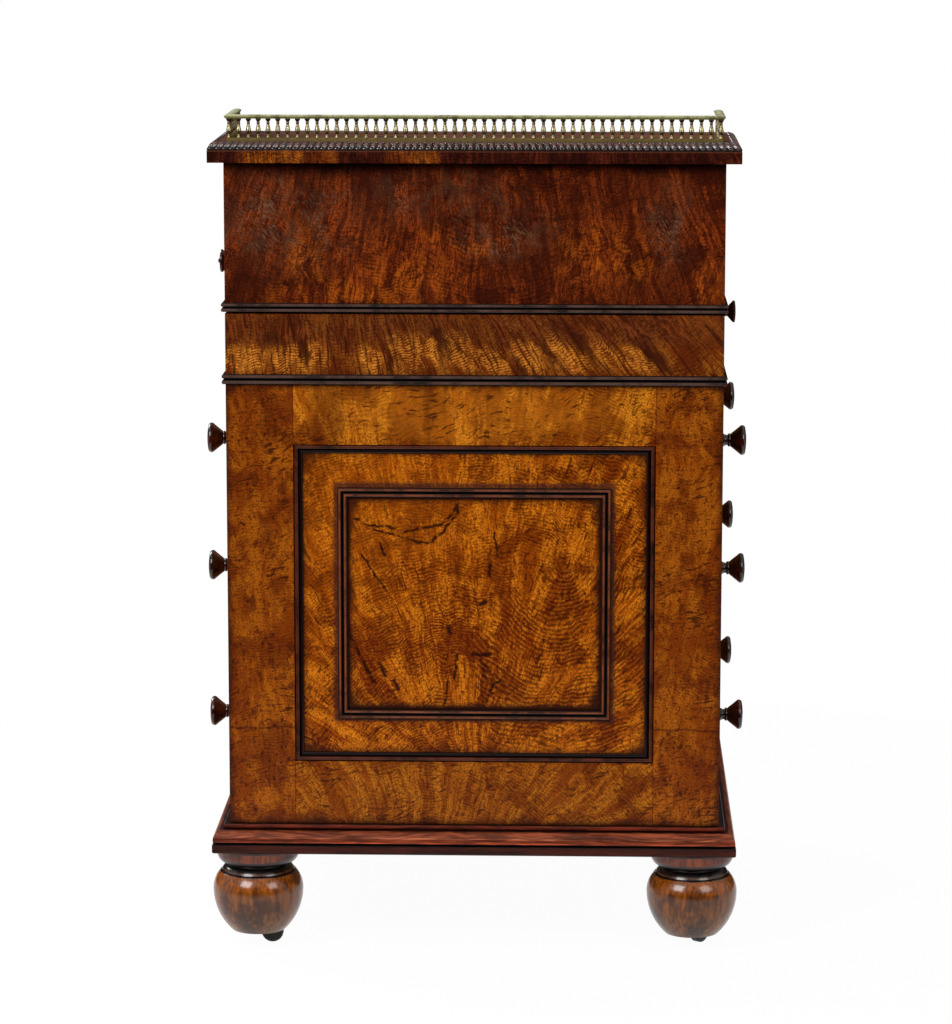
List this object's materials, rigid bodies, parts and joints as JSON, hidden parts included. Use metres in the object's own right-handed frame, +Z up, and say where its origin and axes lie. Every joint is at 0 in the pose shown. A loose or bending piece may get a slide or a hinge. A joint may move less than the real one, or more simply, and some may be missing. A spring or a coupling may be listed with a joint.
{
  "type": "davenport desk",
  "caption": "Davenport desk with a forward-sliding desk box, sloping lid, brass gallery, side drawers, pull-out slides and concealed castors.",
  "frame": {"origin": "on the floor under the middle of the desk", "axes": "+Z up; the writer sits on the -Y side, the panelled back faces +Y; +X is the writer's right, where the drawers open"},
  "size_m": [0.5744, 0.5418, 0.8895],
  "materials": {
    "figured_oak": "french polished",
    "dark_veneer": "french polished",
    "frieze_veneer": "french polished",
    "ebonised_moulding": "satin",
    "turned_dark": "polished",
    "foot_wood": "polished",
    "plinth_wood": "polished",
    "carcase_wood": "plain",
    "drawer_lining": "plain",
    "gallery_brass": "aged",
    "castor_brass": "tarnished",
    "leather": "tooled edge"
  },
  "bodies": {
    "base": {"plinth_board": "carcase_wood", "plinth_moulding": "plinth_wood", "bun_feet": "foot_wood", "castor_sockets": "castor_brass", "back_frame": "figured_oak", "back_panel": "figured_oak", "back_sunk_moulding": "ebonised_moulding", "back_field_moulding": "ebonised_moulding", "front_frame": "figured_oak", "front_panel": "figured_oak", "front_mouldings": "ebonised_moulding", "pedestal_boards": "carcase_wood", "dummy_side": "figured_oak", "dummy_drawer_fronts": "figured_oak", "dummy_drawer_knobs": "turned_dark", "frieze_boards": "frieze_veneer", "frieze_sides": "frieze_veneer", "frieze_moulding": "ebonised_moulding", "deck_boards": "carcase_wood", "slide_guides": "carcase_wood"},
    "desk_top": {"box_back": "dark_veneer", "box_sides": "dark_veneer", "box_front": "dark_veneer", "box_bottom": "carcase_wood", "box_moulding": "ebonised_moulding", "slide_battens": "carcase_wood", "lid_lock": "gallery_brass", "shelf_board": "dark_veneer", "hinge_shelf_leaves": "gallery_brass", "inner_case": "drawer_lining", "gallery_bottom_rail": "gallery_brass", "gallery_top_rail": "gallery_brass", "gallery_balusters": "gallery_brass"},
    "lid": {"lid_board": "dark_veneer", "lid_leather": "leather", "lid_ledge": "ebonised_moulding", "hinge_lid_leaves": "gallery_brass"},
    "pen_drawer": {"pen_drawer": "drawer_lining", "pen_drawer_knob": "turned_dark"},
    "inner_drawer_left": {"inner_drawer_left": "drawer_lining"},
    "inner_drawer_right": {"inner_drawer_right": "drawer_lining"},
    "left_slide": {"left_slide": "figured_oak"},
    "right_slide": {"right_slide": "figured_oak"},
    "drawer_1": {"drawer_1_front": "figured_oak", "drawer_1_box": "drawer_lining", "drawer_1_knobs": "turned_dark"},
    "drawer_2": {"drawer_2_front": "figured_oak", "drawer_2_box": "drawer_lining", "drawer_2_knobs": "turned_dark"},
    "drawer_3": {"drawer_3_front": "figured_oak", "drawer_3_box": "drawer_lining", "drawer_3_knobs": "turned_dark"},
    "castor_rear_left": {"castor_fork_rear_left": "castor_brass"},
    "wheel_rear_left": {"castor_wheel_rear_left": "castor_brass"},
    "castor_rear_right": {"castor_fork_rear_right": "castor_brass"},
    "wheel_rear_right": {"castor_wheel_rear_right": "castor_brass"},
    "castor_front_left": {"castor_fork_front_left": "castor_brass"},
    "wheel_front_left": {"castor_wheel_front_left": "castor_brass"},
    "castor_front_right": {"castor_fork_front_right": "castor_brass"},
    "wheel_front_right": {"castor_wheel_front_right": "castor_brass"}
  },
  "joints": [
    {"name": "top_slide", "type": "slide", "parent": "base", "child": "desk_top", "axis": [0, -1, 0], "range_m": [0, 0.2]},
    {"name": "lid_hinge", "type": "hinge", "parent": "desk_top", "child": "lid", "pos_m": [0, 0.096, 0.8603], "axis": [-1, 0, 0], "range_deg": [0, 80]},
    {"name": "pen_drawer_slide", "type": "slide", "parent": "desk_top", "child": "pen_drawer", "axis": [1, 0, 0], "range_m": [0, 0.2]},
    {"name": "inner_drawer_left_slide", "type": "slide", "parent": "desk_top", "child": "inner_drawer_left", "axis": [0, -1, 0], "range_m": [0, 0.105]},
    {"name": "inner_drawer_right_slide", "type": "slide", "parent": "desk_top", "child": "inner_drawer_right", "axis": [0, -1, 0], "range_m": [0, 0.105]},
    {"name": "left_slide_pull", "type": "slide", "parent": "base", "child": "left_slide", "axis": [-1, 0, 0], "range_m": [0, 0.18]},
    {"name": "right_slide_pull", "type": "slide", "parent": "base", "child": "right_slide", "axis": [1, 0, 0], "range_m": [0, 0.18]},
    {"name": "drawer_1_slide", "type": "slide", "parent": "base", "child": "drawer_1", "axis": [1, 0, 0], "range_m": [0, 0.3]},
    {"name": "drawer_2_slide", "type": "slide", "parent": "base", "child": "drawer_2", "axis": [1, 0, 0], "range_m": [0, 0.3]},
    {"name": "drawer_3_slide", "type": "slide", "parent": "base", "child": "drawer_3", "axis": [1, 0, 0], "range_m": [0, 0.3]},
    {"name": "castor_rear_left_swivel", "type": "hinge", "parent": "base", "child": "castor_rear_left", "pos_m": [-0.2326, 0.2226, 0.0318], "axis": [0, 0, 1], "continuous": true},
    {"name": "wheel_rear_left_roll", "type": "hinge", "parent": "castor_rear_left", "child": "wheel_rear_left", "pos_m": [-0.24163, 0.21062, 0.0118], "axis": [0.7986, -0.6018, 0], "continuous": true},
    {"name": "castor_rear_right_swivel", "type": "hinge", "parent": "base", "child": "castor_rear_right", "pos_m": [0.2326, 0.2226, 0.0318], "axis": [0, 0, 1], "continuous": true},
    {"name": "wheel_rear_right_roll", "type": "hinge", "parent": "castor_rear_right", "child": "wheel_rear_right", "pos_m": [0.2176, 0.2226, 0.0118], "axis": [0, -1, 0], "continuous": true},
    {"name": "castor_front_left_swivel", "type": "hinge", "parent": "base", "child": "castor_front_left", "pos_m": [-0.2326, -0.2226, 0.0318], "axis": [0, 0, 1], "continuous": true},
    {"name": "wheel_front_left_roll", "type": "hinge", "parent": "castor_front_left", "child": "wheel_front_left", "pos_m": [-0.24669, -0.22773, 0.0118], "axis": [0.342, -0.9397, 0], "continuous": true},
    {"name": "castor_front_right_swivel", "type": "hinge", "parent": "base", "child": "castor_front_right", "pos_m": [0.2326, -0.2226, 0.0318], "axis": [0, 0, 1], "continuous": true},
    {"name": "wheel_front_right_roll", "type": "hinge", "parent": "castor_front_right", "child": "wheel_front_right", "pos_m": [0.21961, -0.2151, 0.0118], "axis": [-0.5, -0.866, 0], "continuous": true}
  ]
}
